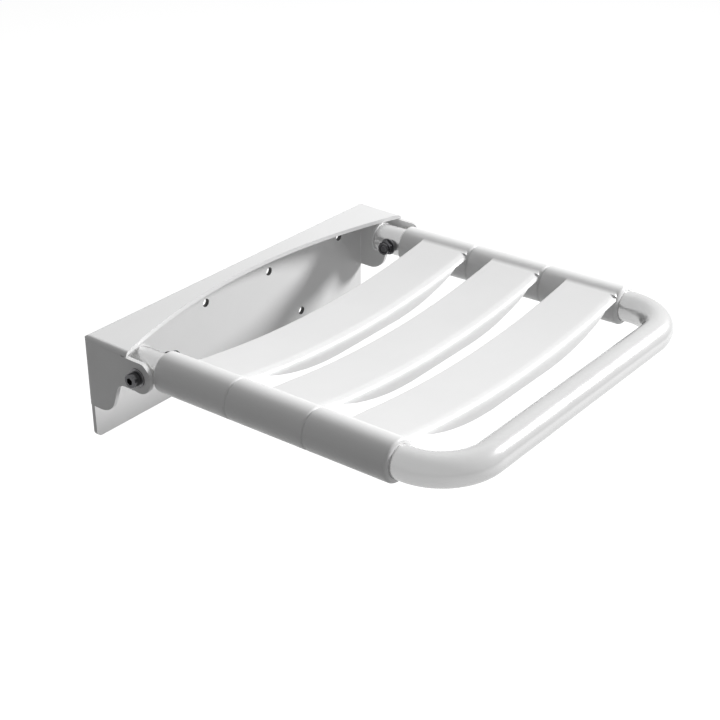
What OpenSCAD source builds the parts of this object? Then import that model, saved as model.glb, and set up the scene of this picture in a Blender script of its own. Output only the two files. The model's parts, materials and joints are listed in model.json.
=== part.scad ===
// Fold down wall seat: a folded sheet bracket with two ears carries a bent tube
// frame with three moulded slats. The seat turns up about two bolts on one axis.
// X runs along the wall, the seat reaches out along -Y, Z is up. The origin is
// midway between the upper mounting holes, on the back face of the wall plate.

/* [Wall bracket] */
// Width over the two side flanges
plate_w = 390; // [320:5:520]
// Drop from the upper mounting holes to the wall plate's lower edge
plate_drop = 79.5; // [76:0.5:120]
// Inset of the wall plate's side edges below the side flanges
plate_inset = 3.5; // [0:0.5:8]
// Thickness of the sheet
sheet_t = 4; // [2.5:0.5:5]
// Inside radius of the folds
fold_r = 1.5; // [0.5:0.5:3]
// Radius of the wall plate's lower corners
plate_corner_r = 6; // [2:1:12]
// Diameter of the mounting holes
hole_d = 8; // [5:0.5:9]
// Distance between the inner two of the upper holes
inner_hole_spacing = 90; // [70:1:140]
// Distance from a side of the bracket to the outer one of the upper holes
outer_hole_inset = 41; // [30:1:70]
// Distance between the two lower holes
lower_hole_spacing = 186; // [120:2:260]
// Drop from the upper holes to the lower holes
hole_row_drop = 62; // [50:1:68]
// Depth of the top flange in the middle of its curved front edge
flange_mid_depth = 21.5; // [16:0.5:26]
// Depth of the top flange at its front corners
flange_side_depth = 55; // [50:1:56]
// Depth of the fold between the top flange and a side flange
side_fold_depth = 48; // [42:1:50]

/* [Hinge ears] */
// Distance of the pivot axis from the wall
pivot_depth = 67.8; // [66:0.2:80]
// Height of the pivot axis above the upper mounting holes
pivot_height = 6.5; // [2:0.5:10]
// Radius of the rounded nose of an ear
ear_r = 15.5; // [13:0.5:17]
// Height of the neck of an ear below the pivot axis
ear_neck_below = 15; // [11:0.5:15.5]
// Lower end of the side flanges below the pivot axis
side_flange_below = 50; // [44:1:60]
// Depth of the side flange at its lower lobe
lobe_depth = 36.5; // [32:0.5:42]
// Radius of the lower lobe
lobe_r = 20; // [8:1:22]
// Lean of the side flange's front edge from upright, in degrees
lobe_lean = 18; // [5:1:24]
// Radius in the notch under the ear
notch_r = 12; // [4:0.5:14]

/* [Seat frame] */
// Outer diameter of the frame tube
tube_d = 28.6; // [25:0.2:30]
// Wall of the frame tube
tube_wall = 2; // [1.5:0.1:3]
// Gap between an ear and the side of the sleeve next to it
sleeve_side_gap = 0.3; // [0.3:0.1:4]
// Distance from the pivot axis to the centre line of the front tube
reach = 316; // [250:1:420]
// Straight piece of a leg between the last sleeve and the bend
leg_front = 6.1; // [1:0.1:40]
// Centre line radius of the two front bends
bend_r = 46; // [30:1:50]
// Length of the tails behind the pivot axis, with their plugs
tail_length = 23.5; // [20:0.5:26]
// Rise of the opened seat towards its front, in degrees
rest_rise = 2; // [0:0.5:4]
// Turn of the seat from open to folded, in degrees
fold_turn = 87; // [80:1:87]

/* [Slats] */
// Outer diameter of the sleeves on the legs
sleeve_d = 37.4; // [33:0.2:38]
// Gap between one sleeve and the next
sleeve_gap = 0.6; // [0.3:0.1:1]
// Distance from the pivot axis to the first sleeve
sleeve_start = 14.6; // [13:0.2:20]
// Distance from a sleeve's rear end to its panel's rear edge
panel_set_back = 24; // [16:1:34]
// Thickness of a panel
panel_t = 4; // [3:0.2:5]
// Height of a panel's top over the leg axis, halfway across
panel_mid_height = 2; // [0:0.5:6]
// Height of a panel's top over the leg axis, where it meets a leg
panel_end_height = 17; // [14:0.5:17.5]
// Drop of the front skirt below the leg axis, halfway across
skirt_below = 11.6; // [6:0.2:13]
// Height of the skirt's lower edge over the leg axis, where it fades out
skirt_end_height = 8; // [4:0.5:9]
// Distance from a leg's centre line to where the skirt fades out
skirt_fade_in = 32; // [28:1:60]
// Length of the straight middle of the skirt's lower edge
skirt_straight = 80; // [20:2:140]
// Height of the lip that the skirt leaves under a panel next to its sleeves
skirt_lip = 0.5; // [0.3:0.1:2]
// Thickness of the front skirt
skirt_t = 3.6; // [2.5:0.1:4.5]
// Radius of the rounded front edge of a panel
panel_nose_r = 9; // [6:0.5:10]
// Radius of the rounded rear edge of a panel
panel_tail_r = 2.5; // [1:0.5:3]
// Radius of the rounded front end of a sleeve
sleeve_nose_r = 3; // [1:0.2:3.6]
// Radius of the hollow between a panel and its sleeve
hollow_r = 18; // [4:1:22]
// Radius of the corner between a panel's underside and its sleeve
under_corner_r = 4; // [2:0.5:7]

/* [Hinge parts] */
// Diameter of the pivot bolts
bolt_d = 8; // [6:0.5:8]
// Length of the pivot bolts under the head
bolt_length = 50; // [48:1:60]
// Diameter of a bolt head
bolt_head_d = 13; // [10:0.5:13]
// Height of a bolt head
bolt_head_h = 8; // [6:0.5:8]
// Width across the flats of the socket in a bolt head
socket_flats = 6; // [4:0.5:6]
// Depth of the socket in a bolt head
socket_depth = 4.5; // [3:0.5:5]
// Diameter of the flat washers
washer_d = 17; // [15:0.5:20]
// Thickness of the flat washers
washer_t = 1.6; // [1:0.1:2]
// Width across the flats of the lock nuts
nut_flats = 13; // [12:0.5:15]
// Height of the lock nuts
nut_h = 8; // [6:0.5:9]
// Height of the nylon insert inside a lock nut
nut_insert_h = 2; // [1:0.2:2.4]
// Outer diameter of the crush tubes through the legs
crush_d = 12; // [11:0.5:13]
// How far a crush tube stands out of the inner side of its leg
crush_proud = 1; // [0.5:0.1:2]
// Diameter of the nylon spacers between ear and leg
spacer_d = 18; // [16:0.5:25]

/* [End plugs] */
// Diameter of the rim of the end plugs
plug_rim_d = 31; // [30:0.1:32]
// Thickness of the rim of the end plugs
plug_rim_t = 3.5; // [2:0.5:4]
// Length of a plug inside its tube
plug_stem = 12; // [8:0.5:12]

/* [Hidden] */
// Clearance between pieces that move against each other
move_gap = 0.3;
// Radial clearance of the pivot bolts in the crush tubes
pivot_fit = 0.05;
// Radial clearance of pieces that sit in or on each other
seat_fit = 0.1;
// Radial clearance of the bolts in the ears and washers
bolt_fit = 0.3;
// Slot between the top flange's corners and the ears under them
relief_gap = 0.8;
// Overrun of the cuts past the faces that they open
cut_over = 1;
// Chamfer at the bolt ends, on the nut corners and round the bolt heads
edge_chamfer = 0.8;
// Rounding of the plug rims
rim_round_r = 1.4;
// Wall of the hollow plug stems
plug_wall = 2.4;

// Number of slats, each a node of its own
slat_count = 3;

// Every curved face gets enough sides to look smooth
$fn = 96;

tube_r = tube_d / 2;
sleeve_r = sleeve_d / 2;
bore_r = tube_r + seat_fit;
fold_outer_r = fold_r + sheet_t;
half_w = plate_w / 2;
ear_in = half_w - sheet_t;
leg_x = ear_in - sleeve_side_gap - sleeve_r;

// The stop: at rest the plug rims lie just under the top flange's corners
flange_under = plug_rim_d / 2 * cos(rest_rise) - (tail_length - plug_rim_t) * sin(rest_rise)
    + move_gap;
plate_above_pivot = flange_under + sheet_t;
plate_top = pivot_height + plate_above_pivot;
ear_top = min(ear_r, flange_under - relief_gap);

// Radius of an arc through a middle point and two ends at the given half chord and rise
function arc_radius(half_chord, rise) = (half_chord * half_chord + rise * rise) / (2 * rise);
// The crossing nearer the middle of two circles about [0, z1] and [x2, 0]
function crossing(z1, r1, x2, r2) =
    let (
        d = norm([x2, -z1]),
        a = (r1 * r1 - r2 * r2 + d * d) / (2 * d),
        h = sqrt(r1 * r1 - a * a),
        along = [x2, -z1] / d,
        across = [along[1], -along[0]]
    )
    [0, z1] + a * along + h * across;
// Point on a circle towards another point
function towards(centre, target, r) = centre + r * (target - centre) / norm(target - centre);

flange_arc_r = arc_radius(half_w, flange_side_depth - flange_mid_depth);
panel_arc_r = arc_radius(leg_x, panel_end_height - panel_mid_height);
panel_arc_z = panel_mid_height + panel_arc_r;
skirt_flat_x = skirt_straight / 2;
skirt_arc_r = arc_radius(leg_x - skirt_fade_in - skirt_flat_x, skirt_end_height + skirt_below);
skirt_arc_z = skirt_arc_r - skirt_below;

// The slats share the straight part of the legs
sleeve_pitch = (reach - bend_r - leg_front - sleeve_start + sleeve_gap) / slat_count;
sleeve_length = sleeve_pitch - sleeve_gap;

// Stations along the hinge axis, measured from the middle of the seat
spacer_out = ear_in - move_gap;
crush_in = leg_x - tube_r - crush_proud;
washer_in = crush_in - move_gap;
nut_out = washer_in - washer_t;
head_seat = half_w + washer_t;
bolt_end = head_seat - bolt_length;

// Puts children, drawn about the pivot axis, on the bracket
module at_pivot() {
    translate([0, -pivot_depth, pivot_height]) children();
}

// Puts children, drawn about the pivot axis with level legs, at the rest angle
module at_rest() {
    at_pivot() rotate([-rest_rise, 0, 0]) children();
}

// Turns a shape drawn up the Z axis so that it runs outwards along the hinge axis
module along_hinge(side, x) {
    translate([side * x, 0, 0]) rotate([0, side * 90, 0]) children();
}

// Turns a shape drawn up the Z axis so that it runs forwards along a leg
module along_leg(x, from) {
    translate([x, -from, 0]) rotate([90, 0, 0]) children();
}

// What is left of a square corner outside a rounding, with the corner at the origin
module corner_waste(r) {
    difference() {
        translate([-cut_over, -cut_over]) square(r + cut_over);
        translate([r, r]) circle(r);
    }
}

// Rectangle with its two upper corners rounded
module tunnel(w, h, r) {
    difference() {
        translate([-w / 2, 0]) square([w, h]);
        translate([-w / 2, h]) mirror([0, 1]) corner_waste(r);
        translate([w / 2, h]) rotate(180) corner_waste(r);
    }
}

// Block whose upper edges and rear edges are rounded, open side down and forwards
module rounded_block(w, depth, top, bottom, rear, r) {
    h = top - bottom;
    intersection() {
        translate([0, -rear, bottom]) rotate([90, 0, 0]) linear_extrude(depth) tunnel(w, h, r);
        translate([0, -rear - depth, bottom]) linear_extrude(h) tunnel(w, depth, r);
        translate([-w / 2, 0, bottom]) rotate([90, 0, 90]) linear_extrude(w)
            difference() {
                translate([-rear - depth, 0]) square([depth, h]);
                translate([-rear, h]) rotate(180) corner_waste(r);
            }
    }
}

// Outline of a side flange and its ear: X is the depth, Y the height over the pivot
module side_outline() {
    lobe_y = -side_flange_below + lobe_r;
    lobe_x = lobe_depth - lobe_r;
    // The front edge touches the lobe's circle and leans out up to the notch
    edge = [lobe_x + lobe_r * cos(lobe_lean), lobe_y - lobe_r * sin(lobe_lean)];
    rise = -ear_neck_below - edge[1];
    head = edge + [rise * tan(lobe_lean), rise];
    // The notch's circle touches the leaning edge and the underside of the neck
    turn = (90 - lobe_lean) / 2;
    touch = notch_r * tan(turn);
    notch = head + [touch, -notch_r];
    difference() {
        union() {
            translate([0, -side_flange_below]) square([lobe_x, side_flange_below]);
            translate([lobe_x, lobe_y]) circle(lobe_r);
            polygon([[0, 0], [0, edge[1]], edge, head, head + [touch, 0], head + [touch, 0.5 * ear_r]]);
            square([side_fold_depth, plate_above_pivot]);
            translate([0, -ear_neck_below]) square([pivot_depth, ear_neck_below + ear_top]);
            translate([pivot_depth, 0]) circle(ear_r);
            polygon([head, head + [touch, 0], notch, head - touch * [sin(lobe_lean), cos(lobe_lean)]]);
        }
        translate(notch) circle(notch_r);
    }
}

module mounting_hole(x, z) {
    translate([x, cut_over, z]) rotate([90, 0, 0]) cylinder(d = hole_d, h = sheet_t + 2 * cut_over);
}

module wall_bracket() {
    full_depth = pivot_depth + ear_r;
    flange_bottom = pivot_height - side_flange_below;
    plate_bottom = -plate_drop;
    color("whitesmoke") difference() {
        union() {
            // Top flange, side flanges and the plate between them
            difference() {
                rounded_block(plate_w, full_depth, plate_top, flange_bottom, 0, fold_outer_r);
                rounded_block(plate_w - 2 * sheet_t, full_depth, plate_top - sheet_t,
                    flange_bottom - cut_over, sheet_t, fold_r);
                // Outside the side flanges' outline, in front of the folds
                translate([half_w + cut_over, 0, pivot_height]) rotate([90, 0, -90])
                    linear_extrude(plate_w + 2 * cut_over) difference() {
                        translate([sheet_t + fold_r, -side_flange_below - cut_over])
                            square([full_depth, side_flange_below + cut_over + flange_under]);
                        side_outline();
                    }
                // In front of the top flange's curved edge, above the ears
                translate([0, -flange_mid_depth - flange_arc_r, plate_top - sheet_t - relief_gap / 2])
                    cylinder(r = flange_arc_r, h = sheet_t + relief_gap / 2 + cut_over, $fn = 360);
                translate([-half_w - cut_over, -full_depth - cut_over, pivot_height + ear_top])
                    cube([plate_w + 2 * cut_over, full_depth + cut_over - flange_side_depth,
                        plate_above_pivot - ear_top + cut_over]);
            }
            // Wall plate below the side flanges
            translate([0, 0, flange_bottom]) rotate([90, 0, 0]) linear_extrude(sheet_t)
                mirror([0, 1])
                    tunnel(plate_w - 2 * plate_inset, flange_bottom - plate_bottom, plate_corner_r);
        }
        for (side = [-1, 1]) {
            mounting_hole(side * inner_hole_spacing / 2, 0);
            mounting_hole(side * (half_w - outer_hole_inset), 0);
            mounting_hole(side * lower_hole_spacing / 2, -hole_row_drop);
            at_pivot() along_hinge(side, ear_in - cut_over)
                cylinder(r = bolt_d / 2 + bolt_fit, h = sheet_t + 2 * cut_over);
        }
    }
}

// Solid U of the frame: two legs, two bends and the front tube
module frame_path(r, tail) {
    straight = reach - bend_r;
    for (side = [-1, 1]) {
        along_leg(side * leg_x, -tail) cylinder(r = r, h = straight + tail);
        translate([side * (leg_x - bend_r), -straight, 0])
            rotate([0, 0, side > 0 ? -90 : 180])
                rotate_extrude(angle = 90) translate([bend_r, 0]) circle(r);
    }
    translate([bend_r - leg_x, -reach, 0]) rotate([0, 90, 0]) cylinder(r = r, h = 2 * (leg_x - bend_r));
}

module frame_tube() {
    tube_tail = tail_length - plug_rim_t;
    color("gainsboro") at_rest() difference() {
        frame_path(tube_r, tube_tail);
        frame_path(tube_r - tube_wall, tube_tail + cut_over);
        for (side = [-1, 1])
            along_hinge(side, leg_x - tube_r - cut_over)
                cylinder(r = crush_d / 2 + seat_fit, h = tube_d + 2 * cut_over);
    }
}

// Sleeve of a slat about one leg, from its rear end forwards
module sleeve() {
    rotate_extrude() difference() {
        translate([bore_r, 0]) square([sleeve_r - bore_r, sleeve_length]);
        translate([sleeve_r, sleeve_length]) rotate(180) corner_waste(sleeve_nose_r);
    }
}

// Sweeps a slat section about the panel's long arc: X is the depth below the
// arc's centre, Y the distance forwards
module sweep_arc() {
    half_angle = asin(leg_x / panel_arc_r);
    translate([0, 0, panel_arc_z]) rotate([90, 0, 0]) rotate([0, 0, -90 - half_angle])
        rotate_extrude(angle = 2 * half_angle, $fn = 720) children();
}

// Panel section from its rear edge forwards, with its rounded front and rear edges
module panel_section(t, over, rear) {
    difference() {
        translate([panel_arc_r - over, rear]) square([t + over, sleeve_length - rear]);
        translate([panel_arc_r - over, sleeve_length]) mirror([0, 1]) corner_waste(panel_nose_r);
        translate([panel_arc_r - over, rear]) corner_waste(panel_tail_r);
    }
}

// Filled corners between a face of the panel and the sleeves, seen along the legs.
// The fillet's circle touches both, past_panel lies in the panel behind its face.
module root_corners(centre, past_panel, r) {
    past_sleeve = towards([leg_x, 0], centre, sleeve_r - cut_over);
    panel_root = crossing(panel_arc_z, panel_arc_r + panel_t / 2, leg_x, sleeve_r);
    in_sleeve = towards([leg_x, 0], panel_root, sleeve_r - cut_over);
    for (side = [0, 1]) mirror([side, 0]) difference() {
        polygon([past_sleeve, centre, past_panel, in_sleeve]);
        translate(centre) circle(r);
    }
}

module upper_corners() {
    centre = crossing(panel_arc_z, panel_arc_r - hollow_r, leg_x, sleeve_r + hollow_r);
    root_corners(centre, towards([0, panel_arc_z], centre, panel_arc_r + cut_over), hollow_r);
}

module lower_corners() {
    face_r = panel_arc_r + panel_t;
    centre = crossing(panel_arc_z, face_r + under_corner_r, leg_x, sleeve_r + under_corner_r);
    root_corners(centre, towards([0, panel_arc_z], centre, face_r - cut_over), under_corner_r);
}

// Section through panel and front skirt, the skirt at its full drop
module slat_section() {
    drop = panel_mid_height + skirt_below + cut_over;
    difference() {
        panel_section(drop, 0, panel_set_back);
        translate([panel_arc_r + panel_t, panel_set_back - cut_over])
            square([drop, sleeve_length - skirt_t - panel_set_back + cut_over]);
    }
}

// What the skirt's lower edge leaves away on one side, down to a lip under the panel
module skirt_waste() {
    translate([0, skirt_t - sleeve_length, 0]) rotate([90, 0, 0])
        linear_extrude(skirt_t + cut_over) difference() {
            translate([skirt_flat_x, -sleeve_r]) square([leg_x, sleeve_r + panel_end_height]);
            translate([skirt_flat_x, skirt_arc_z]) circle(skirt_arc_r, $fn = 720);
            translate([0, panel_arc_z]) circle(panel_arc_r + panel_t + skirt_lip, $fn = 720);
        }
}

// Panel and front skirt, its lower edge straight in the middle and an arc on each side
module panel_and_skirt() {
    difference() {
        sweep_arc() slat_section();
        translate([-skirt_flat_x, -sleeve_length - cut_over, -skirt_below - 2 * cut_over])
            cube([skirt_straight, skirt_t + 2 * cut_over, 2 * cut_over]);
        for (side = [0, 1]) mirror([side, 0, 0]) skirt_waste();
    }
}

// One slat about the leg axes, with the rear end of its sleeves at the pivot axis
module slat() {
    difference() {
        union() {
            for (side = [-1, 1]) along_leg(side * leg_x, 0) sleeve();
            panel_and_skirt();
            intersection() {
                rotate([90, 0, 0]) linear_extrude(sleeve_length) upper_corners();
                sweep_arc()
                    panel_section(panel_t / 2, sleeve_r - panel_end_height, panel_set_back + panel_tail_r / 2);
            }
            translate([0, -panel_set_back - panel_tail_r / 2, 0]) rotate([90, 0, 0])
                linear_extrude(sleeve_length - panel_set_back - panel_tail_r / 2 - sleeve_nose_r)
                    lower_corners();
        }
        for (side = [-1, 1])
            along_leg(side * leg_x, -cut_over) cylinder(r = bore_r, h = sleeve_length + 2 * cut_over);
    }
}

module place_slat(index) {
    color("white") at_rest() translate([0, -sleeve_start - index * sleeve_pitch, 0]) slat();
}

module rear_slat() {
    place_slat(0);
}

module middle_slat() {
    place_slat(1);
}

module front_slat() {
    place_slat(2);
}

// Hollow nylon plug with a rounded rim, pressed into the tail of a leg
module end_plug(side) {
    stem_r = tube_r - tube_wall - seat_fit;
    rim_r = plug_rim_d / 2;
    color("silver") at_rest() translate([side * leg_x, tail_length, 0]) rotate([90, 0, 0]) difference() {
        rotate_extrude() {
            square([stem_r, plug_rim_t + plug_stem]);
            difference() {
                square([rim_r, plug_rim_t]);
                translate([rim_r, 0]) rotate(90) corner_waste(rim_round_r);
            }
        }
        translate([0, 0, plug_rim_t]) cylinder(r = stem_r - plug_wall, h = plug_stem + cut_over);
    }
}

module left_end_plug() {
    end_plug(-1);
}

module right_end_plug() {
    end_plug(1);
}

// Socket head bolt from outside the ear to inside the leg
module pivot_bolt(side) {
    r = bolt_d / 2;
    head_r = bolt_head_d / 2;
    color("dimgray") at_pivot() along_hinge(side, bolt_end) difference() {
        union() {
            cylinder(r1 = r - edge_chamfer, r2 = r, h = edge_chamfer);
            translate([0, 0, edge_chamfer]) cylinder(r = r, h = bolt_length - edge_chamfer);
            translate([0, 0, bolt_length]) cylinder(r = head_r, h = bolt_head_h - edge_chamfer);
            translate([0, 0, bolt_length + bolt_head_h - edge_chamfer])
                cylinder(r1 = head_r, r2 = head_r - edge_chamfer, h = edge_chamfer);
        }
        translate([0, 0, bolt_length + bolt_head_h - socket_depth])
            cylinder(d = socket_flats / cos(30), h = socket_depth + cut_over, $fn = 6);
    }
}

module left_pivot_bolt() {
    pivot_bolt(-1);
}

module right_pivot_bolt() {
    pivot_bolt(1);
}

// Flat washer whose outer face lies at x along the hinge axis
module washer(side, x) {
    color("gray") at_pivot() along_hinge(side, x - washer_t) difference() {
        cylinder(d = washer_d, h = washer_t);
        translate([0, 0, -cut_over]) cylinder(r = bolt_d / 2 + bolt_fit, h = washer_t + 2 * cut_over);
    }
}

module left_head_washer() {
    washer(-1, head_seat);
}

module right_head_washer() {
    washer(1, head_seat);
}

module left_inner_washer() {
    washer(-1, washer_in);
}

module right_inner_washer() {
    washer(1, washer_in);
}

// Nylon spacer on the crush tube, saddled to the side of the leg
module spacer(side) {
    color("ivory") at_rest() difference() {
        along_hinge(side, leg_x) cylinder(d = spacer_d, h = spacer_out - leg_x);
        along_hinge(side, leg_x - cut_over)
            cylinder(r = crush_d / 2 + seat_fit, h = spacer_out - leg_x + 2 * cut_over);
        along_leg(side * leg_x, -spacer_d) cylinder(r = bore_r, h = 2 * spacer_d);
    }
}

module left_spacer() {
    spacer(-1);
}

module right_spacer() {
    spacer(1);
}

// Steel tube through the leg that carries the clamping load and turns on the bolt
module crush_tube(side) {
    color("darkgray") at_rest() along_hinge(side, crush_in) difference() {
        cylinder(d = crush_d, h = spacer_out - crush_in);
        translate([0, 0, -cut_over])
            cylinder(r = bolt_d / 2 + pivot_fit, h = spacer_out - crush_in + 2 * cut_over);
    }
}

module left_crush_tube() {
    crush_tube(-1);
}

module right_crush_tube() {
    crush_tube(1);
}

// Outline of revolution of a lock nut's insert groove and bore
module nut_bore() {
    r = bolt_d / 2;
    translate([0, 0, -nut_h - cut_over]) cylinder(r = r + pivot_fit, h = nut_h + 2 * cut_over);
    translate([0, 0, -nut_h + edge_chamfer]) cylinder(r = r + edge_chamfer, h = nut_insert_h);
}

// Lock nut: hexagon with chamfered corners and a round collar that holds the insert
module lock_nut(side) {
    corner_r = nut_flats / 2 / cos(30);
    collar_h = nut_insert_h + edge_chamfer;
    color("slategray") at_pivot() along_hinge(side, nut_out) difference() {
        union() {
            intersection() {
                translate([0, 0, collar_h - nut_h]) cylinder(r = corner_r, h = nut_h - collar_h, $fn = 6);
                translate([0, 0, collar_h - nut_h]) {
                    cylinder(r1 = corner_r - edge_chamfer, r2 = corner_r, h = edge_chamfer);
                    translate([0, 0, edge_chamfer])
                        cylinder(r = corner_r, h = nut_h - collar_h - 2 * edge_chamfer);
                    translate([0, 0, nut_h - collar_h - edge_chamfer])
                        cylinder(r1 = corner_r, r2 = corner_r - edge_chamfer, h = edge_chamfer);
                }
            }
            translate([0, 0, -nut_h]) cylinder(d = nut_flats - edge_chamfer, h = collar_h);
        }
        nut_bore();
    }
}

module left_lock_nut() {
    lock_nut(-1);
}

module right_lock_nut() {
    lock_nut(1);
}

// Nylon ring in the collar of a lock nut
module nut_insert(side) {
    color("royalblue") at_pivot() along_hinge(side, nut_out)
        translate([0, 0, -nut_h + edge_chamfer]) difference() {
            cylinder(r = bolt_d / 2 + edge_chamfer - pivot_fit, h = nut_insert_h);
            translate([0, 0, -cut_over])
                cylinder(r = bolt_d / 2 + pivot_fit / 2, h = nut_insert_h + 2 * cut_over);
        }
}

module left_nut_insert() {
    nut_insert(-1);
}

module right_nut_insert() {
    nut_insert(1);
}

wall_bracket();
frame_tube();
rear_slat();
middle_slat();
front_slat();
left_end_plug();
right_end_plug();
left_pivot_bolt();
right_pivot_bolt();
left_head_washer();
right_head_washer();
left_spacer();
right_spacer();
left_crush_tube();
right_crush_tube();
left_inner_washer();
right_inner_washer();
left_lock_nut();
right_lock_nut();
left_nut_insert();
right_nut_insert();
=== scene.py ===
import json
import math
import bpy
from mathutils import Matrix, Vector

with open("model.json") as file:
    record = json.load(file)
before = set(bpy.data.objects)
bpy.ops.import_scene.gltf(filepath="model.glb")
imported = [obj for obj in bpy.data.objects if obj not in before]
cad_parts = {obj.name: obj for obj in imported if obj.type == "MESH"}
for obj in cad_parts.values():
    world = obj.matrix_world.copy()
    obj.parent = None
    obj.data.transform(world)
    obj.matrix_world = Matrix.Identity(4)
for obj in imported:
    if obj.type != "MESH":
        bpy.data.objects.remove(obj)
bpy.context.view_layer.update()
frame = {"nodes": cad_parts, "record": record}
nodes = frame["nodes"]

# Lengths are in metres and angles in degrees, unless a name says otherwise.

# Camera: the photograph's view
CAMERA_AT = Vector((-0.9431236, -0.9055374, 0.6271672))
AZIMUTH, ELEVATION, ROLL = -51.50302, 28.57163, 0.19093
FOCAL_PX, IMAGE_PX = 1485.0738, 720.0
SENSOR_MM = 36
CLIP_START, CLIP_END = 0.05, 60

# Disk lamps that face the seat's middle: name, direction, diameter, watts, and whether a gloss shows it.
# The side lamp stays out of reflections, so that the glossy tube has one highlight, as in the photograph.
SEAT_MIDDLE = Vector((0, -0.2, 0))
LAMP_DISTANCE = 2.4
LAMPS = (
    ("key", (0.757, -0.473, 0.450), 0.6, 59, True),
    ("side", (0.65, 0.30, 0.70), 1.6, 22, False),
)

# World: a low even light on the object, and a white background
SKY_STRENGTH, WHITE_STRENGTH = 0.22, 1.0

# Floor, as far down as such a seat hangs above one, with a glow that brings it near white where it is seen
FLOOR_Z, FLOOR_HALF_SIDE = -0.48, 20
FLOOR_GREY, FLOOR_GLOW = 0.3, 0.87

# Mounting holes in the plate (distance from the middle, height), with shade painted dark on their walls
# inside the given radius
HOLES = ((0.045, 0.0), (0.154, 0.0), (0.093, -0.062))
HOLE_R = 0.00425
HOLE_SHADE_COLOUR = (0.01, 0.01, 0.01)

# Marks in the materials: the span of the noise that is used, its scales per metre, and the marks' heights
NOISE_LOW, NOISE_HIGH = 0.3, 0.7
COLOUR_DETAIL, GLOSS_DETAIL, BUMP_DETAIL = 4.0, 3.0, 2.0
COLOUR_ROUGHNESS = 0.6
MOTTLE_SCALE, GLOSS_SCALE, GRAIN_SCALE = 14, 55, 3200
PEEL_HEIGHT, GRAIN_HEIGHT, METAL_HEIGHT = 0.0002, 0.00006, 0.00005

# Bare metal: the strength of its bump, and the scale of its gloss as a share of that of its marks
METAL_BUMP = 0.25
METAL_GLOSS_SHARE = 0.6

# Coats and plastics: index of refraction, and the roughness of the clear layer on top
COAT_IOR, CLEAR_ROUGHNESS = 1.5, 0.08

# Bevel widths by kind of piece. A kind that isn't named has none.
BEVELS = {
    "wall_bracket": 0.0006,
    "spacer": 0.0006,
    "crush_tube": 0.0003,
    "head_washer": 0.0003,
    "inner_washer": 0.0003,
    "pivot_bolt": 0.0002,
}
BEVEL_SEGMENTS, BEVEL_ANGLE = 3, 38
SHARP_ANGLE = 32
WELD_DISTANCE = 0.000005
LARGE_FACE_WEIGHT = 100


def make_camera():
    azimuth, elevation, roll = (math.radians(angle) for angle in (AZIMUTH, ELEVATION, ROLL))
    back = Vector((
        math.sin(azimuth) * math.cos(elevation),
        -math.cos(azimuth) * math.cos(elevation),
        math.sin(elevation),
    ))
    level = (-back).cross(Vector((0, 0, 1))).normalized()
    upright = level.cross(-back)
    right = level * math.cos(roll) + upright * math.sin(roll)
    up = upright * math.cos(roll) - level * math.sin(roll)
    data = bpy.data.cameras.new("camera")
    data.sensor_fit = "HORIZONTAL"
    data.sensor_width = SENSOR_MM
    data.lens = FOCAL_PX / IMAGE_PX * SENSOR_MM
    data.clip_start, data.clip_end = CLIP_START, CLIP_END
    camera = bpy.data.objects.new("camera", data)
    camera.matrix_world = Matrix.Translation(CAMERA_AT) @ Matrix((right, up, back)).transposed().to_4x4()
    bpy.context.scene.collection.objects.link(camera)
    bpy.context.scene.camera = camera


def disk_lamp(name, towards, diameter, watts, in_gloss):
    data = bpy.data.lights.new(name, "AREA")
    data.shape = "DISK"
    data.size = diameter
    data.energy = watts
    lamp = bpy.data.objects.new(name, data)
    lamp.visible_glossy = in_gloss
    direction = Vector(towards).normalized()
    lamp.location = SEAT_MIDDLE + direction * LAMP_DISTANCE
    lamp.rotation_mode = "QUATERNION"
    lamp.rotation_quaternion = direction.to_track_quat("Z", "Y")
    bpy.context.scene.collection.objects.link(lamp)


class Nodes:
    """Short calls for building a node tree."""

    def __init__(self, tree):
        self.tree = tree
        self.tree.nodes.clear()

    def new(self, kind, **settings):
        node = self.tree.nodes.new(kind)
        for key, value in settings.items():
            setattr(node, key, value)
        return node

    def link(self, source, target):
        self.tree.links.new(source, target)


def tree_of(name):
    material = bpy.data.materials.new(name)
    material.use_nodes = True
    return material, Nodes(material.node_tree)


def grey(level):
    return (level, level, level)


def mapped(n, scale=(1, 1, 1)):
    place = n.new("ShaderNodeTexCoord")
    mapping = n.new("ShaderNodeMapping")
    mapping.inputs["Scale"].default_value = scale
    n.link(place.outputs["Object"], mapping.inputs["Vector"])
    return mapping.outputs["Vector"]


def noise(n, vector, scale, detail, roughness=0.5):
    made = n.new("ShaderNodeTexNoise")
    made.inputs["Scale"].default_value = scale
    made.inputs["Detail"].default_value = detail
    made.inputs["Roughness"].default_value = roughness
    n.link(vector, made.inputs["Vector"])
    return made.outputs["Fac"]


def ranged(n, value, low, high):
    made = n.new("ShaderNodeMapRange")
    made.inputs["From Min"].default_value = NOISE_LOW
    made.inputs["From Max"].default_value = NOISE_HIGH
    made.inputs["To Min"].default_value = low
    made.inputs["To Max"].default_value = high
    n.link(value, made.inputs["Value"])
    return made.outputs["Result"]


def ramp(n, value, dark, light):
    made = n.new("ShaderNodeValToRGB")
    made.color_ramp.elements[0].position = NOISE_LOW
    made.color_ramp.elements[0].color = (*dark, 1)
    made.color_ramp.elements[1].position = NOISE_HIGH
    made.color_ramp.elements[1].color = (*light, 1)
    n.link(value, made.inputs["Fac"])
    return made.outputs["Color"]


def bump(n, height, strength, distance, before=None):
    made = n.new("ShaderNodeBump")
    made.inputs["Strength"].default_value = strength
    made.inputs["Distance"].default_value = distance
    n.link(height, made.inputs["Height"])
    if before is not None:
        n.link(before, made.inputs["Normal"])
    return made.outputs["Normal"]


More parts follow.
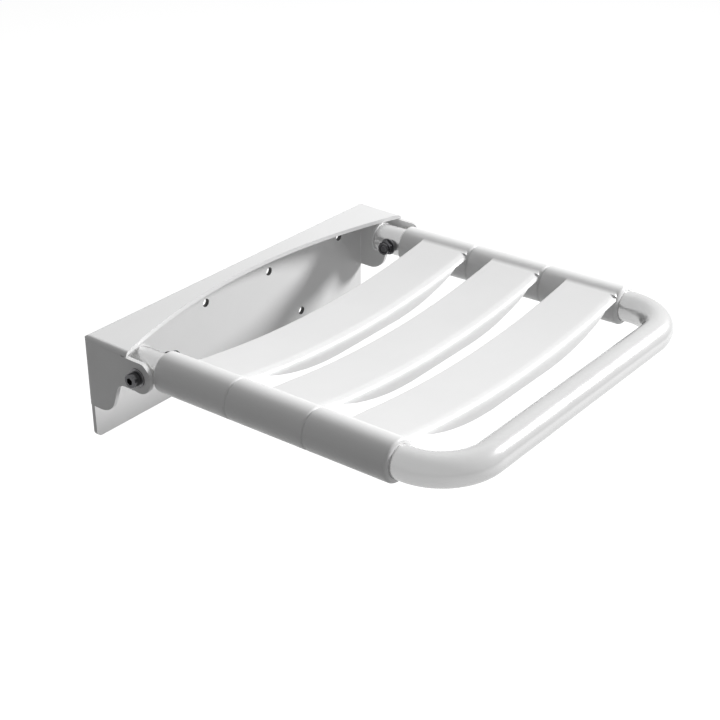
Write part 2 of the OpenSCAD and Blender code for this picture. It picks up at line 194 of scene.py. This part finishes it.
def maths(n, operation, first, second=None):
    """A Math node on one or two values, of which the second may be a plain number."""
    made = n.new("ShaderNodeMath", operation=operation)
    n.link(first, made.inputs[0])
    if isinstance(second, float):
        made.inputs[1].default_value = second
    elif second is not None:
        n.link(second, made.inputs[1])
    return made.outputs[0]


def hole_share(n):
    """1 on the walls of the mounting holes, where their shade is painted, 0 elsewhere."""
    place = n.new("ShaderNodeTexCoord")
    parts = n.new("ShaderNodeSeparateXYZ")
    n.link(place.outputs["Object"], parts.inputs[0])
    folded = n.new("ShaderNodeCombineXYZ")
    n.link(maths(n, "ABSOLUTE", parts.outputs["X"]), folded.inputs["X"])
    n.link(parts.outputs["Z"], folded.inputs["Z"])
    nearest = None
    for x, z in HOLES:
        away = n.new("ShaderNodeVectorMath", operation="DISTANCE")
        n.link(folded.outputs[0], away.inputs[0])
        away.inputs[1].default_value = (x, 0, z)
        distance = away.outputs["Value"]
        nearest = distance if nearest is None else maths(n, "MINIMUM", nearest, distance)
    return maths(n, "LESS_THAN", nearest, HOLE_R)


def coat(name, light, dark, rough, peel_scale, peel, grain=0.0, metallic=0.0, edge=1.0, clear=0.0,
         holes=False):
    """Powder coat or moulded plastic: faint mottling, uneven gloss, orange peel and a fine grain; with
    holes, painted shade on the walls of the mounting holes.
    """
    material, n = tree_of(name)
    out = n.new("ShaderNodeOutputMaterial")
    shader = n.new("ShaderNodeBsdfPrincipled")
    vector = mapped(n)
    colour = ramp(n, noise(n, vector, MOTTLE_SCALE, COLOUR_DETAIL, COLOUR_ROUGHNESS), dark, light)
    # Painted shade: the walls of the mounting holes are coloured near black, for the shade inside them
    if holes:
        hole_shade_mix = n.new("ShaderNodeMix", data_type="RGBA")
        n.link(hole_share(n), hole_shade_mix.inputs["Factor"])
        n.link(colour, hole_shade_mix.inputs["A"])
        hole_shade_mix.inputs["B"].default_value = (*HOLE_SHADE_COLOUR, 1)
        colour = hole_shade_mix.outputs["Result"]
    n.link(colour, shader.inputs["Base Color"])
    n.link(ranged(n, noise(n, vector, GLOSS_SCALE, GLOSS_DETAIL), *rough), shader.inputs["Roughness"])
    shader.inputs["IOR"].default_value = COAT_IOR
    shader.inputs["Coat Weight"].default_value = clear
    shader.inputs["Coat Roughness"].default_value = CLEAR_ROUGHNESS
    shader.inputs["Metallic"].default_value = metallic
    shader.inputs["Specular Tint"].default_value = (*grey(edge), 1)
    normal = bump(n, noise(n, vector, peel_scale, BUMP_DETAIL), peel, PEEL_HEIGHT)
    if grain:
        normal = bump(n, noise(n, vector, GRAIN_SCALE, BUMP_DETAIL), grain, GRAIN_HEIGHT, normal)
    n.link(normal, shader.inputs["Normal"])
    n.link(shader.outputs["BSDF"], out.inputs["Surface"])
    return material


def metal(name, dark, light, rough, stretch, scale):
    """Turned or pressed steel with fine marks drawn out along the given stretch."""
    material, n = tree_of(name)
    out = n.new("ShaderNodeOutputMaterial")
    shader = n.new("ShaderNodeBsdfPrincipled")
    vector = mapped(n, stretch)
    marks = noise(n, vector, scale, COLOUR_DETAIL, COLOUR_ROUGHNESS)
    n.link(ramp(n, marks, dark, light), shader.inputs["Base Color"])
    gloss = noise(n, vector, scale * METAL_GLOSS_SHARE, GLOSS_DETAIL)
    n.link(ranged(n, gloss, *rough), shader.inputs["Roughness"])
    shader.inputs["Metallic"].default_value = 1.0
    n.link(bump(n, marks, METAL_BUMP, METAL_HEIGHT), shader.inputs["Normal"])
    n.link(shader.outputs["BSDF"], out.inputs["Surface"])
    return material


COATS = {
    "bracket_coat": dict(light=grey(0.86), dark=grey(0.83), rough=(0.34, 0.44), peel_scale=900, peel=0.22,
                         grain=0.10, holes=True),
    "tube_coat": dict(light=grey(0.76), dark=grey(0.74), rough=(0.16, 0.22), peel_scale=650, peel=0.03,
                      metallic=0.5, edge=0.7, clear=0.2),
    "slat": dict(light=grey(0.86), dark=grey(0.835), rough=(0.30, 0.42), peel_scale=1500, peel=0.10,
                 grain=0.08),
    "plug": dict(light=grey(0.80), dark=grey(0.76), rough=(0.40, 0.52), peel_scale=1200, peel=0.15),
    "nylon": dict(light=(0.72, 0.72, 0.70), dark=(0.66, 0.66, 0.64), rough=(0.38, 0.50),
                  peel_scale=1400, peel=0.15),
    "insert": dict(light=(0.70, 0.70, 0.66), dark=(0.64, 0.64, 0.60), rough=(0.35, 0.50),
                   peel_scale=1400, peel=0.15),
}
METALS = {
    "steel": dict(dark=(0.42, 0.42, 0.43), light=(0.58, 0.58, 0.59), rough=(0.24, 0.38),
                  stretch=(1, 6, 6), scale=400),
    "bolt_steel": dict(dark=(0.05, 0.05, 0.053), light=(0.13, 0.13, 0.136), rough=(0.12, 0.22),
                       stretch=(1, 8, 8), scale=350),
    "washer_steel": dict(dark=(0.12, 0.12, 0.125), light=(0.20, 0.20, 0.205), rough=(0.26, 0.42),
                         stretch=(6, 1, 1), scale=350),
}
MATERIALS = {slot: coat(slot, **values) for slot, values in COATS.items()}
MATERIALS.update((slot, metal(slot, **values)) for slot, values in METALS.items())


def bevel_width(node):
    side, _, kind = node.partition("_")
    return BEVELS.get(kind if side in ("left", "right") else node, 0.0)


def dress(node, slot):
    """Gives a CAD node its material, welded corners, its kind's small bevel, if any, and smooth shading."""
    thing = nodes[node]
    thing.data.materials.clear()
    thing.data.materials.append(MATERIALS[slot])
    weld = thing.modifiers.new("weld", "WELD")
    weld.merge_threshold = WELD_DISTANCE
    width = bevel_width(node)
    if width:
        rounded = thing.modifiers.new("bevel", "BEVEL")
        rounded.width = width
        rounded.segments = BEVEL_SEGMENTS
        rounded.limit_method = "ANGLE"
        rounded.angle_limit = math.radians(BEVEL_ANGLE)
    parted = thing.modifiers.new("sharp edges", "EDGE_SPLIT")
    parted.split_angle = math.radians(SHARP_ANGLE)
    even = thing.modifiers.new("even shading", "WEIGHTED_NORMAL")
    even.mode = "FACE_AREA"
    even.weight = LARGE_FACE_WEIGHT


def background_share(n):
    """1 for rays that see the background directly, in a gloss or through a clear material."""
    path = n.new("ShaderNodeLightPath")
    first = maths(n, "MAXIMUM", path.outputs["Is Camera Ray"], path.outputs["Is Glossy Ray"])
    return maths(n, "MAXIMUM", first, path.outputs["Is Transmission Ray"])


def diffuse(n, level):
    made = n.new("ShaderNodeBsdfDiffuse")
    made.inputs["Color"].default_value = (*grey(level), 1)
    return made.outputs[0]


def white_light(n, kind, strength):
    made = n.new(kind)
    made.inputs["Color"].default_value = (1, 1, 1, 1)
    made.inputs["Strength"].default_value = strength
    return made.outputs[0]


def where_seen(n, elsewhere, seen):
    """Mixes two shaders: the second one shows where a ray sees the background."""
    pick = n.new("ShaderNodeMixShader")
    n.link(background_share(n), pick.inputs["Fac"])
    n.link(elsewhere, pick.inputs[1])
    n.link(seen, pick.inputs[2])
    return pick.outputs[0]


def floor_paint():
    """Grey for the light that it throws back, and near white, with a faint shadow, where it is seen."""
    material, n = tree_of("floor_paint")
    out = n.new("ShaderNodeOutputMaterial")
    lit_white = n.new("ShaderNodeAddShader")
    n.link(diffuse(n, FLOOR_GREY), lit_white.inputs[0])
    n.link(white_light(n, "ShaderNodeEmission", FLOOR_GLOW), lit_white.inputs[1])
    n.link(where_seen(n, diffuse(n, FLOOR_GREY), lit_white.outputs[0]), out.inputs["Surface"])
    return material


def make_floor():
    half = FLOOR_HALF_SIDE
    corners = [(x, y, FLOOR_Z) for x, y in ((-half, -half), (half, -half), (half, half), (-half, half))]
    mesh = bpy.data.meshes.new("floor")
    mesh.from_pydata(corners, [], [(0, 1, 2, 3)])
    mesh.materials.append(floor_paint())
    floor = bpy.data.objects.new("floor", mesh)
    bpy.context.scene.collection.objects.link(floor)


def make_world():
    world = bpy.data.worlds.new("studio")
    bpy.context.scene.world = world
    world.use_nodes = True
    n = Nodes(world.node_tree)
    out = n.new("ShaderNodeOutputWorld")
    sky = white_light(n, "ShaderNodeBackground", SKY_STRENGTH)
    white = white_light(n, "ShaderNodeBackground", WHITE_STRENGTH)
    n.link(where_seen(n, sky, white), out.inputs["Surface"])


slots = {row["node"]: row["material_slot"] for row in frame["record"]["subparts"]}
for name in nodes:
    dress(name, slots[name])
make_floor()
make_world()
for lamp in LAMPS:
    disk_lamp(*lamp)
make_camera()
bpy.context.scene.view_settings.view_transform = "Standard"
